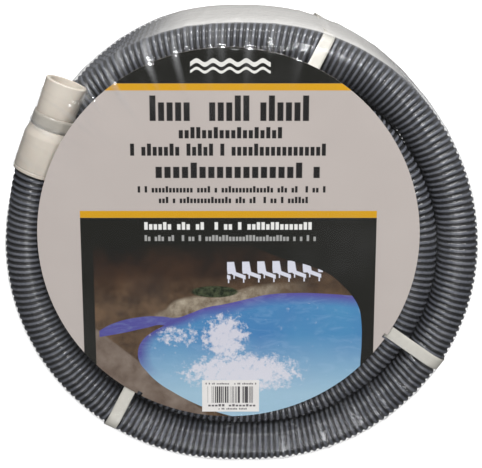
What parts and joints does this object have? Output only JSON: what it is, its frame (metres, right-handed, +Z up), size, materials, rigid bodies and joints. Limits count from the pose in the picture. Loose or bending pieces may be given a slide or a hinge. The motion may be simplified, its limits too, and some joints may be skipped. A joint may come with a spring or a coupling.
{
  "type": "coiled pool vacuum hose",
  "caption": "Spiral-wound pool vacuum hose in a banded round coil, with a swivelling cuff and a plain cuff, a round card and clear wrap.",
  "frame": {"origin": "on the floor, under the middle of the coil", "axes": "+Z up, the coil lying flat; +Y towards the side that is the top of the card's picture; +X to the right of it"},
  "size_m": [0.5605, 0.5326, 0.2982],
  "materials": {
    "hose": "satin",
    "cuff": "satin",
    "lock_ring": "satin",
    "seal": "matte",
    "band": "satin",
    "card": "satin",
    "sticker": "satin",
    "film": "gloss"
  },
  "bodies": {
    "coil": {"hose_coil": "hose", "hose_top_outer_turn": "hose", "hose_top_inner_turn": "hose", "swivel_collar": "cuff", "swivel_lock_ring": "lock_ring", "swivel_seal": "seal", "plain_cuff": "cuff", "band_upper_right": "band", "band_lower_right": "band", "band_lower_left": "band", "band_over_cuff": "band", "printed_card": "card", "barcode_sticker": "sticker", "shrink_film": "film"},
    "swivel": {"swivel_sleeve": "cuff"}
  },
  "joints": [
    {"name": "swivel_spin", "type": "hinge", "parent": "coil", "child": "swivel", "pos_m": [-0.2185, 0.15002, 0.2683], "axis": [0.3584, 0.9336, 0], "continuous": true}
  ]
}
